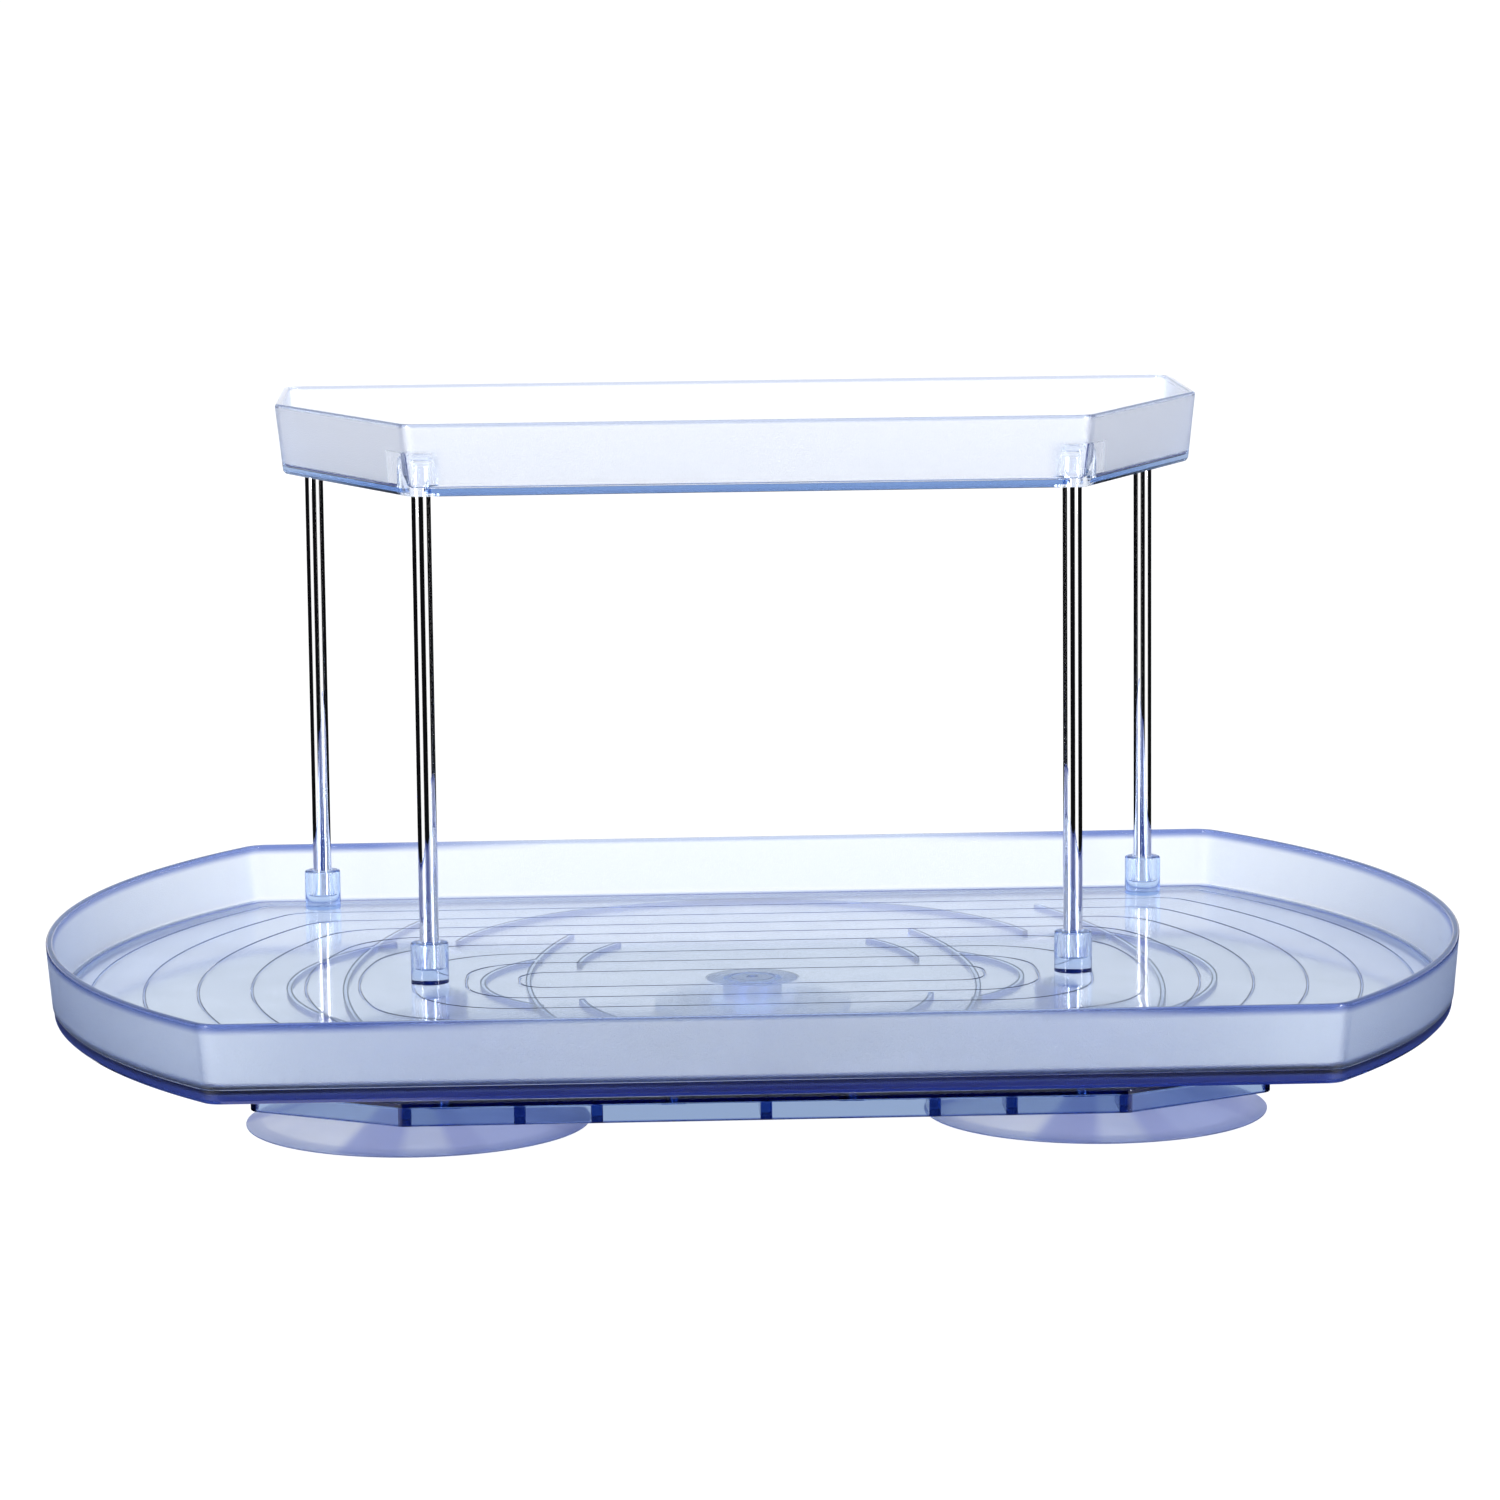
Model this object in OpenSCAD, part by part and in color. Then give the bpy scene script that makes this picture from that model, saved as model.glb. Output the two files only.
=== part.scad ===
// Two-tier rectangular turntable for a fridge shelf or a cupboard.
// A wide clear tray turns on a carriage, the carriage travels fore and aft on a base plate,
// and the base plate stands on two large suction cups. Four chromed posts carry a smaller tray.
// Origin: on the shelf, under the middle of the lower tray. +X to the right, +Y to the back.

/* [Lower tray] */
// Overall length of the lower tray
tray_length = 400; // [390:2:420]
// Overall depth of the lower tray
tray_depth = 290; // [284:2:300]
// Length of the straight front and back edges
straight_edge = 297; // [285:1:305]
// Height of the lower tray from its skirt to its rim
tray_height = 21.7; // [18:0.1:30]
// Radius of the tray's four corners
tray_corner_r = 9; // [7:0.5:14]

/* [Upper tray] */
// Width of the upper tray at the back
upper_width = 271; // [265:1:276]
// Width of the upper tray's front edge
upper_front_width = 193.6; // [190:0.2:198]
// Depth of the upper tray
upper_depth = 144; // [142:1:148]
// Depth of the upper tray's parallel sides
upper_side_depth = 67; // [60:1:75]
// Height of the upper tray
upper_height = 20.6; // [16:0.1:30]
// Height of the gap between the two tiers
tier_gap = 122.5; // [80:0.5:160]

/* [Posts] */
// Diameter of a post
post_d = 5.5; // [4:0.1:6.5]
// Outer diameter of a post's socket
socket_d = 10.8; // [9.5:0.1:12]
// Height of a socket above the lower tray's floor
socket_height = 11.7; // [9:0.1:15]

/* [Base] */
// Length of the base plate
base_length = 282; // [270:2:290]
// Depth of the base plate
base_depth = 110; // [108:1:120]
// Diameter of a suction cup
cup_d = 97; // [80:1:100]
// Distance between the middles of the two suction cups
cup_spacing = 190.8; // [180:0.2:196]
// How far the tray travels fore and aft
travel = 55; // [40:1:55]

/* [Hidden] */
$fn = 96;

thin = 0.01;           // slab that stands for one section of a hull
over = 1;              // how far a cut runs past the face that it opens
gap = 0.3;             // clearance between faces of parts that move past each other
fit_gap = 0.05;        // radial clearance of a fit
wall = 2.2;            // walls of the two trays
floor_t = 2.2;         // floors of the two trays
arc_step = 4;          // degrees between the points of a rounded corner

// Heights, from the shelf upwards
plate_bottom = 10;
plate_height = 7;
plate_top = plate_bottom + plate_height;
platform_top = plate_top + 1.5;
tray_bottom = 29.7;
band_height = 4;
tray_rim = tray_bottom + tray_height;
tray_floor_top = tray_bottom + band_height + 0.6;
tray_floor_bottom = tray_floor_top - floor_t;
upper_bottom = tray_rim + tier_gap;
upper_rim = upper_bottom + upper_height;
upper_floor_top = upper_bottom + floor_t;

// Posts, from the middle of the tray
post_front = [92, 0];
post_back = [126.6, 127];
post_seat = tray_floor_top + 4;
post_insert = 8.5;
boss_height = 12;
boss_bore = 9.8;

// Base, about its own middle
base_y = -travel / 2;
lip = 2;
skin = 2;
base_corner = [42, 24];
platform_r = base_depth / 2 - lip;
web_offsets = [0, 46, 67, 98];
web_t = 2.2;
web_length = 13;
stud_r = 4;
cup_seat_r = 9;
lock_r = 8;
lock_t = 2;

// Guide rollers
roller_r = 6.3;
roller_pos = [87.6, 32];
roller_pin_r = 2;
roller_bottom = platform_top;
roller_top = 28;
clip_t = 0.8;

// Slide: rails and carriage
carriage_half = [18.2, 14];
flange_bottom = platform_top + gap;
flange_top = flange_bottom + 2.8;
lip_bottom = flange_top + gap;
lip_top = lip_bottom + 1.5;
rail_inner = carriage_half.x + gap;
rail_wall = 2.5;
rail_lip_inner = 15.5;
rail_foot_outer = 28;
rail_foot_t = 1.6;
rail_half = travel / 2 + carriage_half.y + 3;
stop_t = 2.7;
disc_r = 28;
disc_bottom = lip_top + gap;
disc_top = disc_bottom + 1.5;
screw_r = 1.5;
screw_head_r = 2.8;
screw_head_t = 1.4;
screw_y = 30;
screw_x = 24.6;

// Pivot
pin_r = 5;
pin_head_r = 6.3;
bush_r = 7.5;
washer_r = 12;
washer_t = 0.8;
boss_r = 11;
boss_bottom = disc_top + washer_t + gap;
clip_pocket_r = 10;
clip_pocket_top = flange_bottom + 1.4;

// Clear plastic, chrome and soft plastic
clear_blue = [0.76, 0.80, 0.93, 0.6];
base_blue = [0.55, 0.60, 0.80, 0.7];
soft_clear = [0.70, 0.73, 0.88, 0.5];
acetal = [0.93, 0.93, 0.92];
steel = [0.75, 0.76, 0.78];
chrome = [0.86, 0.87, 0.9];

// ---------- outlines ----------

function unit(v) = v / norm(v);

// Half of the angle at corner b between its neighbours a and c
function half_angle(a, b, c) = acos(unit(a - b) * unit(c - b)) / 2;

// The point a distance d inside corner b of a convex outline
function inset_corner(a, b, c, d) =
    b + unit(unit(a - b) + unit(c - b)) * d / sin(half_angle(a, b, c));

function neighbour(points, i, k) = points[(i + k + len(points)) % len(points)];

// A convex outline with each edge moved in by d
function inset_outline(points, d) = [
    for (i = [0 : len(points) - 1])
        inset_corner(neighbour(points, i, -1), points[i], neighbour(points, i, 1), d)
];

// Points round an arc
function arc(centre, r, from, to) =
    let (steps = max(1, ceil(abs(to - from) / arc_step)))
    [for (i = [0 : steps]) centre + r * [cos(from + (to - from) * i / steps),
                                         sin(from + (to - from) * i / steps)]];

// One corner of an anticlockwise convex outline, rounded to radius r
function rounded_corner(a, b, c, r) =
    let (half = half_angle(a, b, c))
    let (centre = inset_corner(a, b, c, r))
    let (edge = unit(b - a))
    let (from = atan2(-edge.x, edge.y))
    arc(centre, r, from, from + 180 - 2 * half);

// A convex outline, moved in by d, with every corner rounded
function rounded_outline(points, d, r) =
    let (inner = inset_outline(points, d))
    [for (i = [0 : len(points) - 1])
        each rounded_corner(neighbour(inner, i, -1), inner[i], neighbour(inner, i, 1), r)];

// The lower tray has bowed ends: arcs through the ends of its straight edges
end_bow = (tray_length - straight_edge) / 2;
end_r = (pow(tray_depth / 2, 2) + pow(end_bow, 2)) / (2 * end_bow);
end_x = tray_length / 2 - end_r;

// A quarter of the lower tray's outline, moved in by d: the bowed end, then the corner
function tray_quarter(d) =
    let (r = tray_corner_r - d)
    let (corner_y = tray_depth / 2 - d - r)
    let (corner_x = end_x + sqrt(pow(end_r - d - r, 2) - pow(corner_y, 2)))
    let (turn = atan2(corner_y, corner_x - end_x))
    concat(arc([end_x, 0], end_r - d, 0, turn), arc([corner_x, corner_y], r, turn + arc_step, 90));

function flipped(points) = [for (i = [len(points) - 1 : -1 : 0]) points[i]];
function scaled(points, s) = [for (p = points) [p.x * s.x, p.y * s.y]];

function tray_outline(d) =
    let (quarter = tray_quarter(d))
    let (inner = [for (i = [1 : len(quarter) - 1]) quarter[i]])
    concat(quarter, scaled(flipped(inner), [-1, 1]), scaled(quarter, [-1, -1]),
           scaled(flipped(inner), [1, -1]));

upper_back = post_back.y + 7;
upper_corners = [
    [upper_front_width / 2, upper_back - upper_depth],
    [upper_width / 2, upper_back - upper_side_depth],
    [upper_width / 2, upper_back],
    [-upper_width / 2, upper_back],
    [-upper_width / 2, upper_back - upper_side_depth],
    [-upper_front_width / 2, upper_back - upper_depth],
];
upper_corner_r = 6;

function upper_outline(d) = rounded_outline(upper_corners, d, upper_corner_r - d);

base_half = [base_length, base_depth] / 2;
base_corners = [
    for (s = [[1, -1], [1, 1], [-1, 1], [-1, -1]])
        each s.x * s.y < 0
            ? [[s.x * (base_half.x - base_corner.x), s.y * base_half.y],
               [s.x * base_half.x, s.y * (base_half.y - base_corner.y)]]
            : [[s.x * base_half.x, s.y * (base_half.y - base_corner.y)],
               [s.x * (base_half.x - base_corner.x), s.y * base_half.y]]
];

function base_outline(d) = rounded_outline(base_corners, d, 4 - d);

// ---------- shared shapes ----------

// A convex solid through sections, each an outline and the height of its slab
module through_sections(sections) {
    hull()
        for (section = sections)
            translate([0, 0, section[1]])
                linear_extrude(thin)
                    polygon(section[0]);
}

// A ring or washer standing at height z
module ring(r_outer, r_inner, z, h) {
    translate([0, 0, z])
        difference() {
            cylinder(r = r_outer, h = h);
            translate([0, 0, -over])
                cylinder(r = r_inner, h = h + 2 * over);
        }
}

module at_base() {
    translate([0, base_y, 0])
        children();
}

// Copies at all four sign combinations of a point
module at_four(p) {
    for (x = [-p.x, p.x], y = [-p.y, p.y])
        translate([x, y, 0])
            children();
}

// ---------- base ----------

// Clear octagonal plate: a lipped shell with a round platform on top and short webs below
module base_plate() {
    color(base_blue)
        at_base()
            difference() {
                union() {
                    difference() {
                        translate([0, 0, plate_bottom])
                            linear_extrude(plate_height)
                                polygon(base_outline(0));
                        translate([0, 0, plate_bottom - over])
                            linear_extrude(plate_height - skin + over)
                                polygon(base_outline(lip));
                    }
                    translate([0, 0, plate_top - thin])
                        cylinder(r = platform_r, h = platform_top - plate_top + thin);
                    base_webs();
                    base_bosses();
                }
                base_holes();
            }
}

// Webs that stiffen the front and back lips
module base_webs() {
    for (x = web_offsets, sx = x == 0 ? [1] : [-1, 1], sy = [-1, 1])
        translate([sx * x - web_t / 2, sy > 0 ? base_half.y - lip - web_length : lip - base_half.y,
                   plate_bottom])
            cube([web_t, web_length, plate_height - skin + thin]);
}

// Bosses for the roller pins and the rail screws
module base_bosses() {
    at_four(roller_pos)
        translate([0, 0, plate_bottom + 1])
            cylinder(r = 4.5, h = plate_height - 1);
    at_four([screw_x, screw_y])
        translate([0, 0, plate_bottom + 2])
            cylinder(r = 3.5, h = plate_height - 2);
}

module base_holes() {
    at_four(roller_pos)
        translate([0, 0, plate_bottom])
            cylinder(r = roller_pin_r + fit_gap, h = plate_height + over);
    at_four([screw_x, screw_y])
        translate([0, 0, plate_bottom + 3])
            cylinder(r = screw_r + fit_gap, h = platform_top - plate_bottom);
    for (x = [-cup_spacing / 2, cup_spacing / 2])
        translate([x, 0, plate_top - skin - over])
            cylinder(r = stud_r + fit_gap, h = skin + 2 * over);
}

// Soft cup: a wide shallow cone on a seat, with a grooved stud through the plate
module suction_cup(side) {
    rim = cup_d / 2;
    seat = plate_top - skin;
    color(soft_clear)
        at_base()
            translate([side * cup_spacing / 2, 0, 0])
                rotate_extrude($fn = 128)
                    polygon([
                        [rim - 2.5, 0], [rim - 0.4, 0], [rim, 0.4], [rim, 0.9],
                        [cup_seat_r + 3, seat - 3.4], [cup_seat_r, seat - 2.2], [cup_seat_r, seat],
                        [stud_r, seat], [stud_r, plate_top + lock_t + 0.5],
                        [stud_r - 0.8, plate_top + lock_t + 1.3], [0, plate_top + lock_t + 1.3],
                        [0, 7.5], [cup_seat_r, 6.8],
                    ]);
}

// Lock ring that holds a cup's stud on top of the plate
module cup_lock(side) {
    color(acetal)
        at_base()
            translate([side * cup_spacing / 2, 0, 0])
                ring(lock_r, stud_r + fit_gap, plate_top, lock_t);
}

// Rail along the travel: a foot, a wall, a lip over the carriage and a stop at each end
module slide_rail(side) {
    foot = rail_foot_outer - rail_inner;
    color(acetal)
        at_base()
            mirror([side < 0 ? 1 : 0, 0, 0])
                difference() {
                    translate([0, rail_half, 0])
                        rotate([90, 0, 0])
                            linear_extrude(2 * rail_half)
                                polygon([
                                    [rail_inner, platform_top],
                                    [rail_inner + foot, platform_top],
                                    [rail_inner + foot, platform_top + rail_foot_t],
                                    [rail_inner + rail_wall, platform_top + rail_foot_t],
                                    [rail_inner + rail_wall, lip_top],
                                    [rail_lip_inner, lip_top],
                                    [rail_lip_inner, lip_bottom],
                                    [rail_inner, lip_bottom],
                                ]);
                    for (y = [-screw_y, screw_y])
                        translate([screw_x, y, platform_top - over])
                            cylinder(r = screw_r + fit_gap, h = rail_foot_t + 2 * over);
                }
    color(acetal)
        at_base()
            for (y = [-rail_half, rail_half - stop_t])
                translate([side > 0 ? rail_lip_inner : -rail_inner - thin, y, platform_top])
                    cube([rail_inner - rail_lip_inner + thin, stop_t, lip_bottom - platform_top + thin]);
}

// Four pan-head screws through the rails' feet
module rail_screws() {
    head_bottom = platform_top + rail_foot_t;
    color(steel)
        at_base()
            at_four([screw_x, screw_y]) {
                translate([0, 0, plate_bottom + 3.5])
                    cylinder(r = screw_r, h = head_bottom - plate_bottom - 3.5 + thin);
                translate([0, 0, head_bottom])
                    difference() {
                        cylinder(r = screw_head_r, h = screw_head_t);
                        for (turn = [0, 90])
                            rotate([0, 0, turn])
                                translate([-1.6, -0.3, screw_head_t - 0.7])
                                    cube([3.2, 0.6, over]);
                    }
            }
}

// Four upright pins in the plate, one for each guide roller
module roller_pins() {
    color(steel)
        at_base()
            at_four(roller_pos)
                translate([0, 0, plate_bottom + 0.5])
                    cylinder(r = roller_pin_r, h = roller_top + clip_t + 0.9 - plate_bottom - 0.5);
}

// Push-on clips that keep the rollers on their pins
module roller_clips() {
    color(steel)
        at_base()
            at_four(roller_pos)
                ring(3.6, roller_pin_r + fit_gap / 2, roller_top + 0.2, clip_t);
}

// Guide roller: it follows the tracks under the tray
module guide_roller(side, end) {
    color(acetal)
        at_base()
            translate([side * roller_pos.x, end * roller_pos.y, 0])
                rotate_extrude()
                    polygon([
                        [roller_pin_r + fit_gap, roller_bottom],
                        [roller_r - 0.8, roller_bottom], [roller_r, roller_bottom + 0.8],
                        [roller_r, roller_top - 0.8], [roller_r - 0.8, roller_top],
                        [roller_pin_r + fit_gap, roller_top],
                    ]);
}

// ---------- carriage ----------

// Carriage: flanges under the rails' lips, a neck between them and a round table above.
// At rest it is at the back end of its travel, under the middle of the tray.
module carriage() {
    color(acetal)
        difference() {
            union() {
                translate([-carriage_half.x, -carriage_half.y, flange_bottom])
                    cube([2 * carriage_half.x, 2 * carriage_half.y, flange_top - flange_bottom]);
                translate([gap - rail_lip_inner, -carriage_half.y, flange_top - thin])
                    cube([2 * (rail_lip_inner - gap), 2 * carriage_half.y,
                          disc_bottom - flange_top + 2 * thin]);
                translate([0, 0, disc_bottom])
                    cylinder(r = disc_r, h = disc_top - disc_bottom);
            }
            translate([0, 0, flange_bottom - over])
                cylinder(r = clip_pocket_r, h = clip_pocket_top - flange_bottom + over);
            translate([0, 0, flange_bottom])
                cylinder(r = bush_r + fit_gap / 2, h = disc_top - flange_bottom + over);
        }
}

// Sleeve in which the pivot pin turns
module carriage_bush() {
    color(steel)
        ring(bush_r, pin_r + fit_gap, clip_pocket_top, disc_top - clip_pocket_top);
}

// Slippery washer between the carriage's table and the tray's boss
module thrust_washer() {
    color(chrome)
        ring(washer_r, pin_r + 0.4, disc_top, washer_t);
}

// ---------- lower tray ----------

module lower_tray() {
    color(clear_blue) {
        difference() {
            union() {
                tray_shell();
                tray_sockets();
            }
            at_posts(post_front)
                post_bore(post_seat, socket_height);
            at_posts(post_back)
                post_bore(post_seat, socket_height);
        }
        tray_boss();
        tray_tracks();
    }
}

// Walls with a little draft, a rounded foot and a shallow skirt under the floor
module tray_shell() {
    difference() {
        through_sections([
            [tray_outline(3.6), tray_bottom],
            [tray_outline(2.6), tray_bottom + 0.4],
            [tray_outline(2.0), tray_bottom + 1.3],
            [tray_outline(1.7), tray_bottom + band_height],
            [tray_outline(0), tray_rim - thin],
        ]);
        through_sections([
            [tray_outline(4.6), tray_floor_top],
            [tray_outline(4.0), tray_floor_top + 1],
            [tray_outline(wall - 0.2), tray_rim + over],
        ]);
        translate([0, 0, tray_bottom - over])
            linear_extrude(tray_floor_bottom - tray_bottom + over)
                polygon(tray_outline(5.6));
    }
}

module at_posts(p) {
    for (x = [-p.x, p.x])
        translate([x, p.y, 0])
            children();
}

module tray_sockets() {
    for (p = [post_front, post_back])
        at_posts(p)
            translate([0, 0, tray_floor_top - thin])
                cylinder(r = socket_d / 2, h = socket_height + thin);
}

// Blind bore for a post's end, open upwards
module post_bore(bottom, height) {
    translate([0, 0, bottom])
        cylinder(r = post_d / 2 + fit_gap, h = height);
}

// Boss under the floor that grips the pivot pin's head
module tray_boss() {
    difference() {
        translate([0, 0, boss_bottom])
            cylinder(r = boss_r, h = tray_floor_bottom - boss_bottom + thin);
        translate([0, 0, boss_bottom - over])
            cylinder(r = pin_head_r + fit_gap, h = tray_floor_bottom - boss_bottom + over - 0.4);
    }
}

// Upright rib that follows an arc under the floor
track_t = 1.6;
track_bottom = tray_bottom + 0.2;

module track_arc(centre, r, from, to) {
    translate([centre.x, centre.y, track_bottom])
        rotate([0, 0, from])
            rotate_extrude(angle = to - from, $fn = 240)
                translate([r - track_t / 2, 0])
                    square([track_t, tray_floor_bottom - track_bottom + thin]);
}

// Guide tracks, the same in all four quarters of the tray
module tray_tracks() {
    for (side = [0, 180])
        rotate([0, 0, side]) {
            track_arc([38, 0], 94, -46, 46);
            track_arc([-160, 0], 276, -24, 24);
            track_arc([-155, 0], 219, -20, 20);
            track_arc([30, 0], 47, -50, 50);
            track_arc([0, 43], 88, 16, 164);
            for (end = [-1, 1])
                track_arc([-20, end * 20], 69.5, end > 0 ? 6 : -35, end > 0 ? 35 : -6);
        }
}

// Stepped pin that hangs from the tray's boss, with a groove for its clip
module pivot_pin() {
    groove_z = clip_pocket_top - 0.2;
    color(steel)
        difference() {
            union() {
                translate([0, 0, flange_bottom])
                    cylinder(r = pin_r, h = boss_bottom - flange_bottom + thin);
                translate([0, 0, boss_bottom])
                    cylinder(r = pin_head_r, h = tray_floor_bottom - 0.5 - boss_bottom);
            }
            ring(pin_r + over, pin_r - 1, groove_z - 0.8, 0.8);
        }
}

// Clip in the pin's groove, in the pocket under the carriage
module retaining_clip() {
    color(steel)
        difference() {
            ring(8.5, pin_r - 1 + fit_gap, clip_pocket_top - 0.95, 0.7);
            translate([0, -2.5, clip_pocket_top - 2])
                cube([10, 5, 3]);
        }
}

// ---------- posts and upper tray ----------

module post(p) {
    color(chrome)
        translate([p.x, p.y, post_seat])
            cylinder(r = post_d / 2, h = upper_bottom + post_insert - post_seat);
}

module upper_tray() {
    color(clear_blue)
        difference() {
            union() {
                upper_shell();
                upper_bosses();
            }
            for (p = [post_front, post_back])
                at_posts(p)
                    translate([0, 0, upper_bottom - over])
                        cylinder(r = post_d / 2 + fit_gap, h = boss_bore + over);
        }
}

module upper_shell() {
    difference() {
        through_sections([
            [upper_outline(2.8), upper_bottom],
            [upper_outline(2.1), upper_bottom + 0.8],
            [upper_outline(0), upper_rim - thin],
        ]);
        through_sections([
            [upper_outline(4.8), upper_floor_top],
            [upper_outline(4.2), upper_floor_top + 1],
            [upper_outline(wall - 0.2), upper_rim + over],
        ]);
    }
}

// Domed bosses over the posts, kept inside the tray's outline
module upper_bosses() {
    dome = 1.8;
    intersection() {
        for (p = [post_front, post_back])
            at_posts(p)
                translate([0, 0, upper_bottom + 0.8])
                    rotate_extrude()
                        polygon([
                            [0, 0], [socket_d / 2, 0], [socket_d / 2, boss_height - dome],
                            [socket_d / 2 - 0.6, boss_height - 0.7],
                            [socket_d / 2 - dome, boss_height - 0.1], [0, boss_height],
                        ]);
        translate([0, 0, upper_bottom])
            linear_extrude(upper_height)
                polygon(upper_outline(2.1));
    }
}

base_plate();
suction_cup(-1);  // suction_cup_left
suction_cup(1);  // suction_cup_right
cup_lock(-1);  // cup_lock_left
cup_lock(1);  // cup_lock_right
slide_rail(-1);  // slide_rail_left
slide_rail(1);  // slide_rail_right
rail_screws();
roller_pins();
roller_clips();
guide_roller(-1, -1);  // guide_roller_front_left
guide_roller(1, -1);  // guide_roller_front_right
guide_roller(-1, 1);  // guide_roller_back_left
guide_roller(1, 1);  // guide_roller_back_right
carriage();
carriage_bush();
thrust_washer();
lower_tray();
pivot_pin();
retaining_clip();
post([-post_front.x, post_front.y]);  // post_front_left
post(post_front);  // post_front_right
post([-post_back.x, post_back.y]);  // post_back_left
post(post_back);  // post_back_right
upper_tray();
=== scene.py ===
import math

import bmesh
import bpy
from mathutils import Matrix, Vector


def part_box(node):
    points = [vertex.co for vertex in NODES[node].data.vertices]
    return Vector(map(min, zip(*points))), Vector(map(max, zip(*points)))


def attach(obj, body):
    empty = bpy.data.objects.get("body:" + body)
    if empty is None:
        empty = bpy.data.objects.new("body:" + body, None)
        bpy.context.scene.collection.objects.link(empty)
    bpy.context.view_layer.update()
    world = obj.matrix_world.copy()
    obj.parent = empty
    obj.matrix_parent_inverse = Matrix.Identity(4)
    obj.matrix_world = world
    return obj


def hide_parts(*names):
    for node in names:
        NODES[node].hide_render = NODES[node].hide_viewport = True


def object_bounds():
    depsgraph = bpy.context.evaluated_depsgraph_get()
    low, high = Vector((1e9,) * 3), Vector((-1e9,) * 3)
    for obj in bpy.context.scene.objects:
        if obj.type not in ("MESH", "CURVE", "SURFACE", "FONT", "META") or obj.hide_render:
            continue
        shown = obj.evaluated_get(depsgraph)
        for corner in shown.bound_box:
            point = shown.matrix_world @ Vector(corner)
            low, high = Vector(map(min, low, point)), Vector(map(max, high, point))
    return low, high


# Looks of the two-tier turntable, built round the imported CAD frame. Everything is in metres.
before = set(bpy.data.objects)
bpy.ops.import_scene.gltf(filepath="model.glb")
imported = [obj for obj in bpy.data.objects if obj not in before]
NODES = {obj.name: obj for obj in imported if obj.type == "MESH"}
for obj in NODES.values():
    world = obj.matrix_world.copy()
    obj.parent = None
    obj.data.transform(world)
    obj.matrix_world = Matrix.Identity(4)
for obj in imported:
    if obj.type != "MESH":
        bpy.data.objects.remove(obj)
cad_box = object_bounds()

MM = 0.001
TAU = 2 * math.pi

# ---------- sizes, from the frame and a few of the design's own dimensions ----------

SEAM = 0.03 * MM          # air between solids of one piece, so that their faces never coincide
BITE = 0.5 * MM           # how far solids that are joined reach into each other

# Lower tray
tray_low, tray_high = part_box("lower_tray")
TRAY_HALF = Vector((tray_high.x, tray_high.y))
TRAY_RIM = tray_high.z
TRAY_SKIRT = TRAY_RIM - 21.7 * MM
TRAY_BAND_TOP = TRAY_SKIRT + 4.0 * MM
TRAY_FLOOR = TRAY_SKIRT + 4.6 * MM
TRAY_UNDERSIDE = TRAY_FLOOR - 2.2 * MM
TRAY_STRAIGHT = 297 * MM
TRAY_CORNER = 9 * MM
TRAY_SMALLEST_CORNER = 5 * MM
END_BOW = TRAY_HALF.x - TRAY_STRAIGHT / 2
END_RADIUS = (TRAY_HALF.y ** 2 + END_BOW ** 2) / (2 * END_BOW)
END_X = TRAY_HALF.x - END_RADIUS
WALL_INSET = 8 * MM        # the wall and its fillets end this far in
BELOW_TRAY = TRAY_SKIRT - 5 * MM       # safely under every face of the tray
ABOVE_TRAY = TRAY_RIM + 5 * MM         # safely over every face of the tray
INNER_HALF = Vector((141, 134)) * MM   # inside this are the floor, ribs and sockets, but no wall
PIVOT_ZONE = 13 * MM                   # the pivot's boss ends inside this radius
SOCKET_RADIUS = 5.4 * MM
SOCKET_HEIGHT = 11.7 * MM
BORE_RADIUS = 3.05 * MM
CONTOUR_FIRST = 11.9 * MM
CONTOUR_STEP = 15.2 * MM
CONTOUR_COUNT = 9

# Upper tray
upper_low, upper_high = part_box("upper_tray")
UPPER_BOTTOM = upper_low.z
UPPER_RIM = upper_high.z
UPPER_FLOOR = UPPER_BOTTOM + 2.2 * MM
UPPER_HALF = upper_high.x
UPPER_FRONT_HALF = 96.8 * MM
UPPER_SIDE_Y = upper_high.y - 67 * MM
UPPER_CORNER = 6 * MM

# Base
base_low, base_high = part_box("base_plate")
BASE_MIDDLE = (base_low + base_high) / 2
BASE_HALF = (base_high - base_low) / 2
BASE_CORNER = Vector((42, 24)) * MM
BASE_EDGE_RADIUS = 4 * MM

CAMERA_AZIMUTH = math.radians(2.43)
CAMERA_ELEVATION = math.radians(8.31)
CAMERA_ROLL = math.radians(-0.60)
CAMERA_DISTANCE = 1.556
CAMERA_LENS = 131.4                    # millimetres on a sensor of 36
CAMERA_SLANT = math.tan(CAMERA_AZIMUTH)
POSTS = ["front_left", "front_right", "back_left", "back_right"]
SIDES = {"left": -1, "right": 1}


def middle(node):
    """The middle of a CAD node's box."""
    low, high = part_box(node)
    return (low + high) / 2


# ---------- outlines and paths ----------

def arc(centre, radius, start, end, steps):
    """Points round an arc; the angles are in radians."""
    turns = [start + (end - start) * i / steps for i in range(steps + 1)]
    return [Vector((centre[0] + radius * math.cos(t), centre[1] + radius * math.sin(t))) for t in turns]


def rounded_path(corners, closed=False, steps=5):
    """A path through (a, b, radius) corners, with an arc of that radius at each."""
    path = []
    for i, (a, b, radius) in enumerate(corners):
        here = Vector((a, b))
        is_end = not closed and i in (0, len(corners) - 1)
        if is_end or radius == 0:
            path.append(here)
            continue
        to_last = (Vector(corners[i - 1][:2]) - here).normalized()
        to_next = (Vector(corners[(i + 1) % len(corners)][:2]) - here).normalized()
        half = to_last.angle(to_next) / 2
        centre = here + (to_last + to_next).normalized() * radius / math.sin(half)
        first = here + to_last * radius / math.tan(half) - centre
        last = here + to_next * radius / math.tan(half) - centre
        path += [centre + radius * first.slerp(last, k / steps) for k in range(steps + 1)]
    return path


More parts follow.
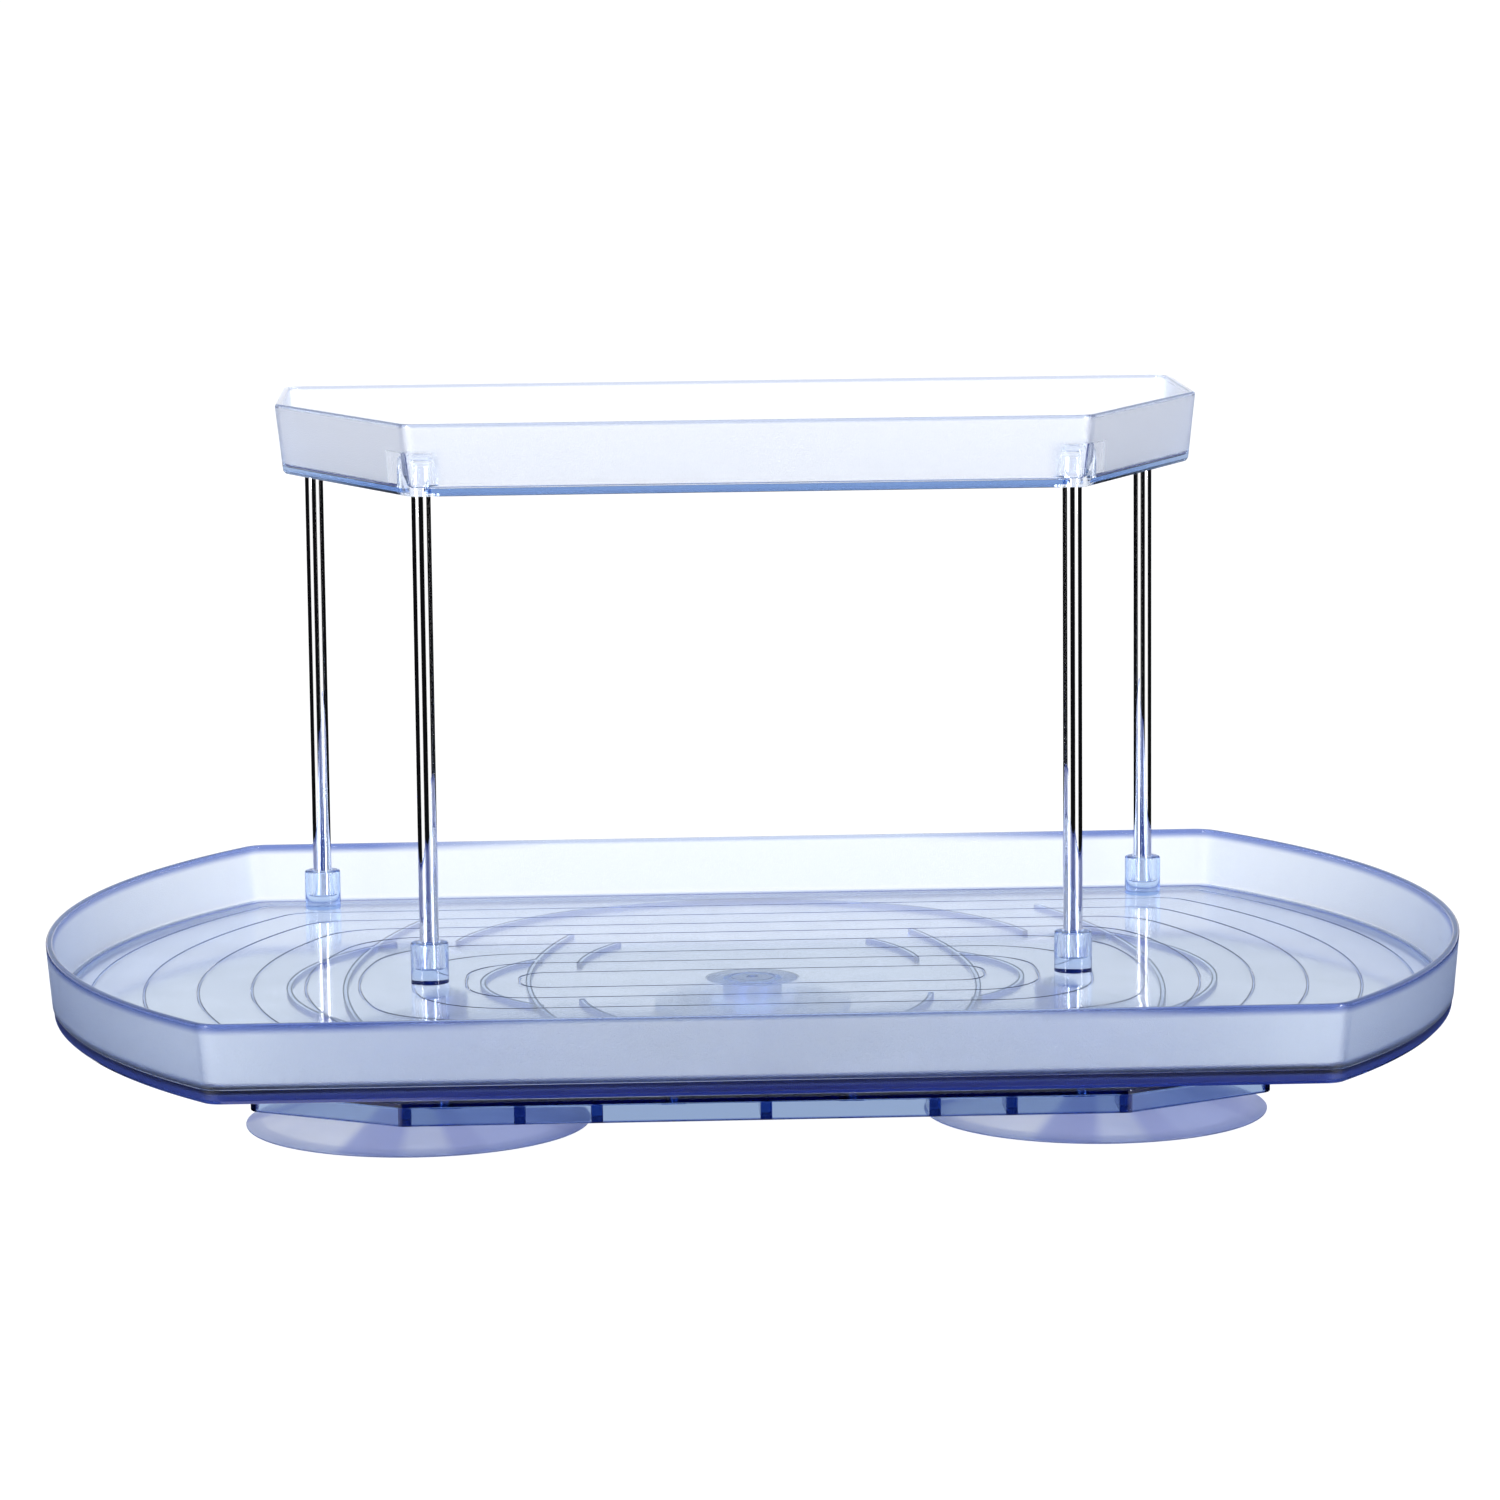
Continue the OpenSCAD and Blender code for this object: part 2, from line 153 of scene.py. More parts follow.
def tray_outline(inset):
    """The lower tray's outline moved in by inset: bowed ends, straight sides, rounded corners."""
    corner = max(TRAY_CORNER - inset, TRAY_SMALLEST_CORNER)
    if inset > WALL_INSET:
        corner = min(corner + 0.3 * (inset - WALL_INSET), 0.7 * (TRAY_HALF.y - inset))
    corner_y = TRAY_HALF.y - inset - corner
    corner_x = END_X + math.sqrt((END_RADIUS - inset - corner) ** 2 - corner_y ** 2)
    turn = math.atan2(corner_y, corner_x - END_X)
    end = arc((END_X, 0), END_RADIUS - inset, 0, turn, 28)
    quarter = end + arc((corner_x, corner_y), corner, turn, math.pi / 2, 10)[1:]
    mirrored = [Vector((-p.x, p.y)) for p in reversed(quarter)]
    half = quarter + mirrored[:-1]
    return half + [-p for p in half]


def upper_outline(inset):
    """The upper tray's six-sided outline moved in by inset."""
    corners = [
        (UPPER_FRONT_HALF, upper_low.y), (UPPER_HALF, UPPER_SIDE_Y), (UPPER_HALF, upper_high.y),
        (-UPPER_HALF, upper_high.y), (-UPPER_HALF, UPPER_SIDE_Y), (-UPPER_FRONT_HALF, upper_low.y),
    ]
    return inset_polygon(corners, inset, max(UPPER_CORNER - inset, 1 * MM))


def base_outline(inset):
    """The base plate's octagon moved in by inset, about its own middle."""
    x, y = BASE_HALF.x, BASE_HALF.y
    cut_x, cut_y = x - BASE_CORNER.x, y - BASE_CORNER.y
    corners = [(cut_x, -y), (x, -cut_y), (x, cut_y), (cut_x, y),
               (-cut_x, y), (-x, cut_y), (-x, -cut_y), (-cut_x, -y)]
    shape = inset_polygon(corners, inset, max(BASE_EDGE_RADIUS - inset, 0.5 * MM))
    return [p + Vector((BASE_MIDDLE.x, BASE_MIDDLE.y)) for p in shape]


def inset_polygon(corners, inset, radius):
    """A convex outline with its edges moved in by inset and its corners rounded."""
    moved = []
    for i, corner in enumerate(corners):
        here = Vector(corner)
        to_last = (Vector(corners[i - 1]) - here).normalized()
        to_next = (Vector(corners[(i + 1) % len(corners)]) - here).normalized()
        half = to_last.angle(to_next) / 2
        moved.append(here + (to_last + to_next).normalized() * inset / math.sin(half))
    return rounded_path([(p.x, p.y, radius) for p in moved], closed=True, steps=8)


# ---------- meshes ----------

def add_rings(bm, rings, material=0, join_ends=False):
    """Faces between rings of points. Open ends are capped; joined ends make a tube in a ring."""
    rows = [[bm.verts.new(p) for p in ring] for ring in rings]
    pairs = list(zip(rows, rows[1:]))
    if join_ends:
        pairs.append((rows[-1], rows[0]))
    count = len(rows[0])
    for lower, upper in pairs:
        for i in range(count):
            k = (i + 1) % count
            bm.faces.new((lower[i], lower[k], upper[k], upper[i])).material_index = material
    if not join_ends:
        for row in (rows[0], rows[-1]):
            bm.faces.new(row).material_index = material


def add_revolved(bm, profile, centre, steps=96, material=0):
    """A closed (radius, height) profile turned round the upright axis through centre."""
    rings = []
    for i in range(steps):
        turn = TAU * i / steps
        rings.append([Vector((centre[0] + p.x * math.cos(turn), centre[1] + p.x * math.sin(turn), p.y))
                      for p in profile])
    add_rings(bm, rings, material, join_ends=True)


def add_lathed(bm, profile, centre, steps=96):
    """A (radius, height) profile that starts and ends on the upright axis: a solid with no bore."""
    rings = []
    for p in profile:
        radius = max(p.x, 0.02 * MM)
        rings.append([Vector((centre[0] + q.x, centre[1] + q.y, p.y))
                      for q in arc((0, 0), radius, 0, TAU * (steps - 1) / steps, steps - 1)])
    add_rings(bm, rings)


def add_bar(bm, low, high, edge, material=0):
    """A block with rounded upright edges and softened top and bottom."""
    half = Vector((high[0] - low[0], high[1] - low[1])) / 2
    centre = Vector((high[0] + low[0], high[1] + low[1])) / 2

    def outline(inset):
        corners = [(half.x, -half.y), (half.x, half.y), (-half.x, half.y), (-half.x, -half.y)]
        return [p + centre for p in inset_polygon(corners, inset, edge)]

    levels = [(edge, low[2]), (0.3 * edge, low[2] + 0.3 * edge), (0, low[2] + edge),
              (0, high[2] - edge), (0.3 * edge, high[2] - 0.3 * edge), (edge, high[2])]
    add_rings(bm, [[p.to_3d() + Vector((0, 0, z)) for p in outline(inset)] for inset, z in levels],
              material)


def solid(name, bm):
    """A plain object from a bmesh, to be joined with others."""
    bmesh.ops.recalc_face_normals(bm, faces=bm.faces)
    mesh = bpy.data.meshes.new(name)
    bm.to_mesh(mesh)
    bm.free()
    part = bpy.data.objects.new(name, mesh)
    bpy.context.scene.collection.objects.link(part)
    return part


def moulding(shell, added, cut):
    """The shell joined with what is added to it, less what is cut out of it, as one bmesh."""
    base = solid("base", shell)
    tools = [("UNION", solid("added", added)), ("DIFFERENCE", solid("cut", cut))]
    for operation, tool in tools:
        step = base.modifiers.new(operation, "BOOLEAN")
        step.operation = operation
        step.solver = "EXACT"
        step.use_self = operation == "UNION"
        step.object = tool
    bpy.context.view_layer.update()
    result = bmesh.new()
    result.from_mesh(base.evaluated_get(bpy.context.evaluated_depsgraph_get()).data)
    for part in (base, tools[0][1], tools[1][1]):
        mesh = part.data
        bpy.data.objects.remove(part)
        bpy.data.meshes.remove(mesh)
    return result


def make_piece(name, bm, materials, body, nodes, sharp=32):
    """Turns a bmesh into a piece: normals, shading, materials, the body it rides on."""
    bmesh.ops.remove_doubles(bm, verts=bm.verts, dist=1e-7)
    bmesh.ops.recalc_face_normals(bm, faces=bm.faces)
    for face in bm.faces:
        face.smooth = True
    for edge in bm.edges:
        edge.smooth = edge.is_manifold and edge.calc_face_angle(0) < math.radians(sharp)
    mesh = bpy.data.meshes.new(name)
    bm.to_mesh(mesh)
    bm.free()
    piece = bpy.data.objects.new(name, mesh)
    bpy.context.scene.collection.objects.link(piece)
    for material in materials:
        mesh.materials.append(material)
    weighted = piece.modifiers.new("even_normals", "WEIGHTED_NORMAL")
    weighted.keep_sharp = True
    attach(piece, body)
    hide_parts(*nodes)
    return piece


# ---------- materials ----------

class Shader:
    """A material's node tree with one Principled shader, and short ways to add nodes to it."""

    def __init__(self, name):
        self.material = bpy.data.materials.new(name)
        self.material.use_nodes = True
        self.tree = self.material.node_tree
        self.principled = self.tree.nodes["Principled BSDF"]
        self.output = self.tree.nodes["Material Output"]
        self.coords = self.add("ShaderNodeTexCoord")

    def add(self, kind, **values):
        node = self.tree.nodes.new(kind)
        for key, value in values.items():
            node.inputs[key.replace("_", " ")].default_value = value
        return node

    def link(self, source, output, target, socket):
        self.tree.links.new(source.outputs[output], target.inputs[socket])

    def set(self, **values):
        for key, value in values.items():
            self.principled.inputs[key.replace("_", " ")].default_value = value

    def noise(self, scale, detail=3.0, stretch=(1, 1, 1)):
        """Noise in the object's own space; scale is in features per metre."""
        mapping = self.add("ShaderNodeMapping")
        mapping.inputs["Scale"].default_value = stretch
        self.link(self.coords, "Object", mapping, "Vector")
        node = self.add("ShaderNodeTexNoise", Scale=scale, Detail=detail)
        self.link(mapping, "Vector", node, "Vector")
        return node

    def spread(self, source, output, low, high, from_low=0.0, from_high=1.0):
        """Maps a value's range onto low to high."""
        node = self.add("ShaderNodeMapRange")
        for socket, value in (("From Min", from_low), ("From Max", from_high),
                              ("To Min", low), ("To Max", high)):
            node.inputs[socket].default_value = value
        self.link(source, output, node, "Value")
        return node

    def bump(self, sources, distance):
        """Bump from one or more (node, output, strength), each laid over the last."""
        last = None
        for node, output, strength in sources:
            layer = self.add("ShaderNodeBump", Strength=strength, Distance=distance)
            self.link(node, output, layer, "Height")
            if last:
                self.link(last, "Normal", layer, "Normal")
            last = layer
        self.link(last, "Normal", self.principled, "Normal")

    def let_light_through(self, tint):
        """Shadow rays pass with a tint, so that the clear plastic throws a light shadow."""
        mix = self.add("ShaderNodeMixShader")
        clear = self.add("ShaderNodeBsdfTransparent", Color=(*tint, 1))
        path = self.add("ShaderNodeLightPath")
        self.link(path, "Is Shadow Ray", mix, "Fac")
        self.tree.links.new(self.principled.outputs["BSDF"], mix.inputs[1])
        self.tree.links.new(clear.outputs["BSDF"], mix.inputs[2])
        self.link(mix, "Shader", self.output, "Surface")

    def absorb(self, colour, density):
        """Light loses its red and green on its way through the plastic."""
        volume = self.add("ShaderNodeVolumeAbsorption", Color=(*colour, 1), Density=density)
        self.link(volume, "Volume", self.output, "Volume")

    def math(self, operation, first, second=0.0):
        """One Math node; each operand is a number or a node whose first output is used."""
        node = self.add("ShaderNodeMath")
        node.operation = operation
        for socket, value in zip(node.inputs, (first, second)):
            if isinstance(value, (int, float)):
                socket.default_value = value
            else:
                self.tree.links.new(value.outputs[0], socket)
        return node

    def height_zone(self, low, high, blend=0.3 * MM):
        """1 between two heights and 0 outside them, with soft ends."""
        axes = self.add("ShaderNodeSeparateXYZ")
        self.link(self.coords, "Object", axes, "Vector")
        above = self.spread(axes, "Z", 0, 1, low - blend, low + blend)
        below = self.spread(axes, "Z", 1, 0, high - blend, high + blend)
        return self.math("MULTIPLY", above, below)

    def outward(self):
        """The node whose Vector is the face's outward normal, even where it is met from inside."""
        shape = self.add("ShaderNodeNewGeometry")
        sign = self.spread(shape, "Backfacing", 1, -1)
        turned = self.add("ShaderNodeVectorMath")
        turned.operation = "SCALE"
        self.link(shape, "Normal", turned, 0)
        self.link(sign, "Result", turned, "Scale")
        return turned

    def met_from_outside(self):
        """1 where a face is met from its side away from the middle, 0 from the middle's side.
        Normal is read as it comes, turned to the side that is met, so what this colours
        depends on the side it is looked at from."""
        flat = self.add("ShaderNodeVectorMath")
        flat.operation = "MULTIPLY"
        self.link(self.coords, "Object", flat, 0)
        flat.inputs[1].default_value = (1, 1, 0)
        out = self.add("ShaderNodeVectorMath")
        out.operation = "DOT_PRODUCT"
        self.link(flat, "Vector", out, 0)
        self.link(self.add("ShaderNodeNewGeometry"), "Normal", out, 1)
        return self.spread(out, "Value", 0, 1, 0.0, 1 * MM)

    def tinted(self, amount, tint, colour=(1, 1, 1, 1)):
        """The socket of a colour that turns from colour, a value or a socket, to tint by amount."""
        mix = self.add("ShaderNodeMix")
        mix.data_type = "RGBA"
        factor, first, second = (mix.inputs[i] for i in (0, 6, 7))
        self.tree.links.new(amount.outputs[0], factor)
        if isinstance(colour, tuple):
            first.default_value = colour
        else:
            self.tree.links.new(colour, first)
        second.default_value = (*tint, 1)
        return mix.outputs[2]

    def facing(self, low, high):
        """0 on faces whose normal's height is below low, 1 on those where it is above high."""
        axes = self.add("ShaderNodeSeparateXYZ")
        self.link(self.outward(), "Vector", axes, "Vector")
        return self.spread(axes, "Z", 0, 1, low, high)

    def sector_tints(self, places, sectors, blend=0.006):
        """Colours that change with the angle round the nearest of some upright axes that stand
        side by side along X. Sectors are (end angle in degrees, colour)."""
        axes = self.add("ShaderNodeSeparateXYZ")
        self.link(self.coords, "Object", axes, "Vector")
        first, last = places
        side = self.math("GREATER_THAN", axes, 0.0)
        shift = self.math("ADD", self.math("MULTIPLY", side, first.x - last.x), -first.x)
        across = self.math("ADD", axes, shift)
        away = self.add("ShaderNodeMath")
        away.operation = "SUBTRACT"
        self.link(axes, "Y", away, 0)
        away.inputs[1].default_value = first.y
        turn = self.math("ARCTAN2", self.math("MULTIPLY", away, -1.0), across)
        share = self.math("FRACT", self.math("DIVIDE", turn, TAU))
        ramp = self.add("ShaderNodeValToRGB")
        start = 0.0
        ramp.color_ramp.elements.remove(ramp.color_ramp.elements[1])
        for i, (end, colour) in enumerate(sectors):
            left = ramp.color_ramp.elements[0] if i == 0 else ramp.color_ramp.elements.new(start + blend)
            left.position = start + blend
            right = ramp.color_ramp.elements.new(end / 360 - blend)
            left.color = right.color = (*colour, 1)
            start = end / 360
        self.link(share, "Value", ramp, "Fac")
        return ramp.outputs["Color"]

    def within(self, half_x, half_y):
        """1 inside a rectangle about the middle, seen from above, and 0 outside it."""
        axes = self.add("ShaderNodeSeparateXYZ")
        self.link(self.coords, "Object", axes, "Vector")
        result = None
        for axis, half in (("X", half_x), ("Y", half_y)):
            size = self.add("ShaderNodeMath")
            size.operation = "ABSOLUTE"
            self.link(axes, axis, size, 0)
            inside = self.math("LESS_THAN", size, half)
            result = self.math("MULTIPLY", result, inside) if result else inside
        return result

    def away_from(self, places, radius, blend=0.5 * MM):
        """0 within radius of the upright axes through places, and 1 outside them."""
        result = None
        for place in places:
            offset = self.add("ShaderNodeVectorMath")
            offset.operation = "MULTIPLY_ADD"
            self.link(self.coords, "Object", offset, 0)
            offset.inputs[1].default_value = (1, 1, 0)
            offset.inputs[2].default_value = (-place.x, -place.y, 0)
            length = self.add("ShaderNodeVectorMath")
            length.operation = "LENGTH"
            self.link(offset, "Vector", length, 0)
            clear = self.spread(length, "Value", 0, 1, radius - blend, radius + blend)
            result = self.math("MULTIPLY", result, clear) if result else clear
        return result


BLUE = (0.22, 0.46, 0.78)      # what the plastic lets through after a long way
AXIS = Vector((0, 0, 0))       # the tray turns about the upright line through this point
PIVOT_FROST = 1.6              # frost of the pivot's boss, where the walls have 1


def clear_plastic(name, density, smooth, rough=0.0, frost=None, grain=0.35, tint=None):
    """Clear blue plastic. Its roughness goes from smooth to rough where frost, a node that is
    worked out by a function of the shader, says 1. Tint is a function that colours its faces."""
    shader = Shader(name)
    shader.set(Base_Color=(1, 1, 1, 1), Transmission_Weight=1.0, IOR=1.49)
    if tint:
        shader.tree.links.new(tint(shader), shader.principled.inputs["Base Color"])
    patches = shader.noise(scale=60, detail=2)
    polish = shader.spread(patches, "Fac", smooth * 0.8, smooth * 1.2, 0.3, 0.7)
    layers = [(shader.noise(scale=35, detail=1), "Fac", 0.012)]
    if frost:
        amount = frost(shader)
        shader.link(shader.math("ADD", polish, shader.math("MULTIPLY", amount, rough)), "Value",
                    shader.principled, "Roughness")
        texture = shader.noise(scale=2600, detail=2)
        layers.append((shader.math("MULTIPLY", texture, amount), "Value", grain))
    else:
        shader.link(polish, "Result", shader.principled, "Roughness")
    shader.bump(layers, distance=0.4 * MM)
    shader.absorb(BLUE, density)
    shader.let_light_through((0.93, 0.95, 1.0))
    return shader.material


def tray_frost(shader):
    """Frosted walls and pivot boss; the floor and the rim are polished."""
    upright = shader.math("SUBTRACT", shader.facing(-0.6, -0.4), shader.facing(0.4, 0.6))
    high = shader.height_zone(BELOW_TRAY, TRAY_RIM - 1.0 * MM)
    outer = shader.math("SUBTRACT", 1.0, shader.within(INNER_HALF.x, INNER_HALF.y))
    apart = shader.away_from([middle("post_" + place) for place in POSTS], 9 * MM)
    walls = shader.math("MULTIPLY", shader.math("MULTIPLY", upright, high),
                        shader.math("MULTIPLY", outer, apart))
    pivot = shader.math("SUBTRACT", PIVOT_FROST, shader.math(
        "MULTIPLY", PIVOT_FROST, shader.away_from([AXIS], PIVOT_ZONE)))
    low = shader.math("SUBTRACT", 1.0, shader.height_zone(TRAY_FLOOR - 1.2 * MM, TRAY_RIM))
    return shader.math("MAXIMUM", walls, shader.math("MULTIPLY", pivot, low))


def tray_tint_and_painted_shade(shader):
    """A near-white tint on the walls, and painted shade: the band round the foot is painted deep blue,
    and the underside, the rim, the rim at the bowed ends, the contour lines and the tracks are painted
    darker.
    """
    wall = shader.height_zone(TRAY_FLOOR + 1.2 * MM, TRAY_RIM)
    # painted shade: the rim is painted a darker blue
    rim = shader.height_zone(TRAY_RIM - 1.2 * MM, ABOVE_TRAY)
    # painted shade: the rim at the bowed ends is painted darker still
    painted_end_rim_shade = shader.math("MULTIPLY", shader.away_from([AXIS], 168 * MM, 14 * MM),
                          shader.height_zone(TRAY_RIM - 2.2 * MM, ABOVE_TRAY, 0.8 * MM))
    # painted shade: the contour grooves in the floor are painted darker
    painted_groove_shade = shader.math("MULTIPLY", shader.facing(0.3, 0.5),
                         shader.height_zone(TRAY_FLOOR - 0.7 * MM, TRAY_FLOOR - 0.1 * MM, 0.03 * MM))
    below = shader.height_zone(BELOW_TRAY, TRAY_UNDERSIDE, 0.2 * MM)
    inside = shader.within(INNER_HALF.x, INNER_HALF.y)
    ribs = shader.math("MULTIPLY", inside, shader.away_from([AXIS], PIVOT_ZONE))
    # painted shade: the guide tracks under the floor are painted dark blue
    painted_track_shade = shader.math("MULTIPLY", shader.math("MULTIPLY", below, shader.facing(-0.7, -0.5)), ribs)
    # painted shade: the band round the foot, where it is met from outside, and the bottom edge are
    # painted deep navy
    foot = shader.math("MULTIPLY", shader.height_zone(BELOW_TRAY, TRAY_BAND_TOP, 0.1 * MM),
                       shader.met_from_outside())
    edge = shader.height_zone(BELOW_TRAY, TRAY_SKIRT + 1.5 * MM, 0.1 * MM)
    band = shader.math("MULTIPLY", shader.math("MAXIMUM", foot, edge),
                       shader.math("SUBTRACT", 1.0, inside))
    # painted shade: the faces under the floor are painted a darker blue
    under = shader.height_zone(BELOW_TRAY, TRAY_FLOOR - 1 * MM)
    tint = shader.tinted(wall, (0.94, 0.965, 1.0))
    tint = shader.tinted(under, (0.62, 0.70, 0.90), tint)
    tint = shader.tinted(rim, (0.62, 0.69, 0.86), tint)
    tint = shader.tinted(painted_end_rim_shade, (0.22, 0.29, 0.62), tint)
    tint = shader.tinted(painted_groove_shade, (0.50, 0.57, 0.84), tint)
    tint = shader.tinted(painted_track_shade, (0.16, 0.23, 0.62), tint)
    return shader.tinted(band, (0.022, 0.038, 0.24), tint)


def upper_tint_and_painted_shade(shader):
    """Nearly clear, with painted shade: a darker rim and a blue line painted along the foot of the wall.
    """
    # painted shade: the rim is painted darker
    rim = shader.height_zone(UPPER_RIM - 0.9 * MM, UPPER_RIM + 5 * MM)
    # painted shade: a faint blue line is painted along the foot of the wall
    foot = shader.height_zone(UPPER_BOTTOM - 5 * MM, UPPER_BOTTOM + 1.7 * MM)
    tint = shader.tinted(rim, (0.62, 0.68, 0.84), (0.95, 0.965, 1.0, 1))
    return shader.tinted(foot, (0.93, 0.95, 1.0), tint)


def base_tint_and_painted_shade(shader):
    """Grey-blue, with painted shade: a darker line painted along the foot of the lip."""
    # painted shade: a dark line along the foot of the lip
    foot = shader.height_zone(base_low.z - 1 * MM, base_low.z + 0.5 * MM, 0.1 * MM)
    return shader.tinted(foot, (0.16, 0.22, 0.48), (0.36, 0.46, 0.64, 1))


def cup_painted_reflections_and_shade(shader):
    """Painted reflections of the studio's light and shade: pale and blue sectors painted on the soft
    plastic, as the photograph's cones show them, and painted shade along the bottom edge.
    """
    # painted reflections: pale is painted lit, deep is painted shade, with lilac and light between
    pale, light = (1, 1, 1), (0.74, 0.77, 0.88)
    lilac, deep = (0.60, 0.64, 0.87), (0.50, 0.53, 0.77)
    sectors = [(30, deep), (65, lilac), (78, deep), (95, light), (117, deep), (178, pale), (192, deep),
               (345, pale), (359, deep)]
    places = [middle("suction_cup_" + name) for name in SIDES]
    # painted shade: a darker ring along the cup's bottom edge
    edge = shader.height_zone(-1 * MM, 0.5 * MM, 0.1 * MM)
    return shader.tinted(edge, (0.30, 0.33, 0.50), shader.sector_tints(places, sectors))


def upper_frost(shader):
    """Frosted walls, except for clear windows at the posts' bosses."""
    walls = shader.height_zone(UPPER_FLOOR + 1.0 * MM, UPPER_RIM - 1.0 * MM)
    window = shader.away_from([middle("post_front_left"), middle("post_front_right")], 9.5 * MM)
    high = shader.height_zone(UPPER_BOTTOM + 12.5 * MM, UPPER_RIM)
    return shader.math("MULTIPLY", walls, shader.math("MAXIMUM", window, high))


def metal(name, colour, roughness, brushed=0.02):
    """Metal with a trace of lengthwise polishing marks and a patchy polish."""
    shader = Shader(name)
    shader.set(Base_Color=(*colour, 1), Metallic=1.0)
    patches = shader.noise(scale=90, detail=3)
    rough = shader.spread(patches, "Fac", roughness * 0.6, roughness * 1.5, 0.3, 0.7)
    shader.link(rough, "Result", shader.principled, "Roughness")
    marks = shader.noise(scale=1500, detail=2, stretch=(1, 1, 0.01))
    shader.bump([(marks, "Fac", brushed)], distance=0.05 * MM)
    return shader.material


def moulded(name, colour, roughness):
    """Solid slippery plastic with a fine moulded grain."""
    shader = Shader(name)
    shader.set(Subsurface_Weight=0.15, Subsurface_Scale=1.5 * MM, IOR=1.48)
    tone = shader.noise(scale=120, detail=3)
    ramp = shader.add("ShaderNodeValToRGB")
    ramp.color_ramp.elements[0].position = 0.3
    ramp.color_ramp.elements[0].color = (*[c * 0.85 for c in colour], 1)
    ramp.color_ramp.elements[1].position = 0.7
    ramp.color_ramp.elements[1].color = (*colour, 1)
    shader.link(tone, "Fac", ramp, "Fac")
    shader.link(ramp, "Color", shader.principled, "Base Color")
    rough = shader.spread(tone, "Fac", roughness * 0.8, roughness * 1.2, 0.3, 0.7)
    shader.link(rough, "Result", shader.principled, "Roughness")
    shader.bump([(shader.noise(scale=3000, detail=2), "Fac", 0.15)], distance=0.1 * MM)
    return shader.material


tray_plastic = clear_plastic("tray_plastic", 70, 0.08, 0.30, tray_frost, tint=tray_tint_and_painted_shade)
upper_plastic = clear_plastic("upper_tray_plastic", 14, 0.06, 0.30, upper_frost, tint=upper_tint_and_painted_shade)
base_plastic = clear_plastic("base_plastic", 120, 0.05, tint=base_tint_and_painted_shade)
web_plastic = clear_plastic("web_plastic", 400, 0.10)
rail_plastic = clear_plastic("rail_plastic", 40, 0.12)
cup_plastic = clear_plastic("cup_plastic", 2, 0.42, tint=cup_painted_reflections_and_shade)
chrome = metal("chrome", (0.94, 0.94, 0.95), 0.015)
steel = metal("steel", (0.62, 0.63, 0.66), 0.22, brushed=0.1)
acetal = moulded("slippery_plastic", (0.10, 0.13, 0.33), 0.35)
white_acetal = moulded("natural_slippery_plastic", (0.74, 0.78, 0.86), 0.35)


# ---------- lower tray ----------

def lower_tray_path():
    """From the middle of the underside, round the wall and over the floor to its middle."""
    wall = rounded_path([
        (20 * MM, TRAY_UNDERSIDE, 0),
        (5.6 * MM, TRAY_UNDERSIDE, 0.6 * MM),
        (5.0 * MM, TRAY_SKIRT, 0.4 * MM),
        (3.2 * MM, TRAY_SKIRT, 0.6 * MM),
        (2.0 * MM, TRAY_SKIRT + 1.2 * MM, 0.8 * MM),
        (1.7 * MM, TRAY_BAND_TOP, 0.2 * MM),
        (1.45 * MM, TRAY_BAND_TOP + 0.25 * MM, 0.2 * MM),
        (0.0, TRAY_RIM, 0.7 * MM),
        (2.0 * MM, TRAY_RIM, 0.7 * MM),
        (4.1 * MM, TRAY_FLOOR, 1.6 * MM),
        (8 * MM, TRAY_FLOOR, 0),
    ])
    contours = []
    for k in range(CONTOUR_COUNT):
        inset = CONTOUR_FIRST + k * CONTOUR_STEP
        contours += [Vector((inset + across * MM, TRAY_FLOOR - depth * MM))
                     for across, depth in ((-0.45, 0), (-0.2, 0.2), (0.2, 0.2), (0.45, 0))]
    return wall + contours


def build_lower_tray():
    """The tray with its sockets, its guide tracks and the boss for the pivot, as one moulding."""
    path = lower_tray_path()
    rings = [[p.to_3d() + Vector((0, 0, step.y)) for p in tray_outline(step.x)] for step in path]
    shell = bmesh.new()
    add_rings(shell, rings)
    added = bmesh.new()
    add_tracks(added)
    cut = bmesh.new()
    for place in POSTS:
        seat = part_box("post_" + place)[0].z - 0.05 * MM
        top = TRAY_FLOOR + SOCKET_HEIGHT
        outside = rounded_path([(0, TRAY_FLOOR - BITE, 0), (SOCKET_RADIUS, TRAY_FLOOR - BITE, 0),
                                (SOCKET_RADIUS, top, 0.5 * MM), (0, top, 0)])
        inside = rounded_path([(0, seat, 0), (BORE_RADIUS, seat, 0.4 * MM),
                               (BORE_RADIUS, top - 0.4 * MM, 0), (BORE_RADIUS + 0.8 * MM, top + BITE, 0),
                               (0, top + BITE, 0)])
        add_lathed(added, outside, middle("post_" + place))
        add_lathed(cut, inside, middle("post_" + place))
    boss = rounded_path([(0, tray_low.z, 0), (8.4 * MM, tray_low.z, 0.5 * MM),
                         (8.4 * MM, TRAY_UNDERSIDE + BITE, 0), (0, TRAY_UNDERSIDE + BITE, 0)])
    pin_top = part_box("pivot_pin")[1].z + 0.1 * MM
    bore = rounded_path([(0, tray_low.z - BITE, 0), (6.6 * MM, tray_low.z - BITE, 0),
                         (6.6 * MM, pin_top, 0), (0, pin_top, 0)])
    gate = rounded_path([(0, TRAY_FLOOR - 0.3 * MM, 0), (1.4 * MM, TRAY_FLOOR - 0.3 * MM, 0.3 * MM),
                         (2.4 * MM, TRAY_FLOOR + BITE, 0), (0, TRAY_FLOOR + BITE, 0)])
    mark = [Vector((6.3 * MM + across * MM, TRAY_FLOOR + rise * MM))
            for across, rise in ((-0.2, -0.2), (0.2, -0.2), (0.7, 0.3), (-0.7, 0.3))]
    add_lathed(added, boss, (0, 0))
    add_lathed(cut, bore, (0, 0))
    add_lathed(cut, gate, (0, 0))
    add_revolved(cut, mark, (0, 0))
    make_piece("lower_tray_shell", moulding(shell, added, cut), [tray_plastic],
               "turntable", ["lower_tray"])


